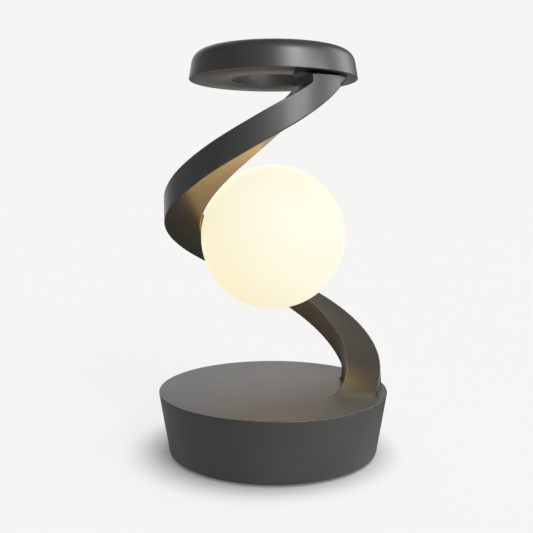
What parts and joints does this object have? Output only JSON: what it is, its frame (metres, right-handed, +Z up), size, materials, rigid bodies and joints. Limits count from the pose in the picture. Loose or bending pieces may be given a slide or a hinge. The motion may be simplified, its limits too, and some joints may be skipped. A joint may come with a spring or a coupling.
{
  "type": "spiral table lamp",
  "caption": "Table lamp: round weighted base, one-turn helical arm of rectangular section, annular head, and an opal globe held to the arm by a magnetic dock.",
  "frame": {"origin": "centre of the base at floor level", "axes": "+Z up, -Y towards the viewer's side, the arm's foot at +X, charging socket and button at +Y"},
  "size_m": [0.1508, 0.1508, 0.2595],
  "materials": {
    "dark_paint": "satin",
    "plate_paint": "matte",
    "rubber": "matte",
    "steel_screw": "satin",
    "iron": "matte",
    "black_plastic": "matte",
    "cell_wrap": "gloss",
    "pcb": "satin",
    "parts_black": "matte",
    "socket_metal": "satin",
    "brass": "satin",
    "magnet": "polished",
    "cable": "matte",
    "red_lead": "matte",
    "opal": "satin",
    "white_plastic": "matte",
    "aluminium": "satin",
    "led_yellow": "matte"
  },
  "bodies": {
    "lamp": {"arm_shell": "dark_paint", "arm_inner_cover": "dark_paint", "arm_cable": "cable", "base_shell": "dark_paint", "bottom_plate": "plate_paint", "rubber_feet": "rubber", "bottom_screws": "steel_screw", "ballast_screws": "steel_screw", "ballast_disc": "iron", "battery_tray": "black_plastic", "battery_cells": "cell_wrap", "battery_leads": "red_lead", "battery_straps": "black_plastic", "main_board": "pcb", "board_posts": "brass", "board_screws": "steel_screw", "board_parts": "parts_black", "usb_socket": "socket_metal", "tact_switch": "parts_black", "foot_screws": "steel_screw", "head_shell": "dark_paint", "head_plate": "dark_paint", "head_screws": "steel_screw", "head_clips": "steel_screw", "clip_rivets": "aluminium", "dock_cup": "dark_paint", "dock_magnet": "magnet", "dock_pin": "brass"},
    "dock_swivel": {"dock_rotor": "magnet"},
    "globe": {"globe_diffuser": "opal", "globe_cap": "white_plastic", "globe_collar": "white_plastic", "cap_screws": "steel_screw", "globe_keeper": "magnet", "globe_contact": "brass", "led_post": "aluminium", "led_hub": "aluminium", "led_emitters": "led_yellow", "led_wires": "cable"},
    "button": {"power_button": "dark_paint"}
  },
  "joints": [
    {"name": "globe_turn", "type": "hinge", "parent": "lamp", "child": "dock_swivel", "pos_m": [-0.04396, 0.0205, 0.1417], "axis": [-0.9063, 0.4226, 0], "continuous": true},
    {"name": "globe_pull", "type": "slide", "parent": "dock_swivel", "child": "globe", "axis": [0.9063, -0.4226, 0], "range_m": [0, 0.13]},
    {"name": "power_button", "type": "slide", "parent": "lamp", "child": "button", "axis": [0, -1, 0], "range_m": [0, 0.001], "stiffness_N_per_m": 600}
  ]
}
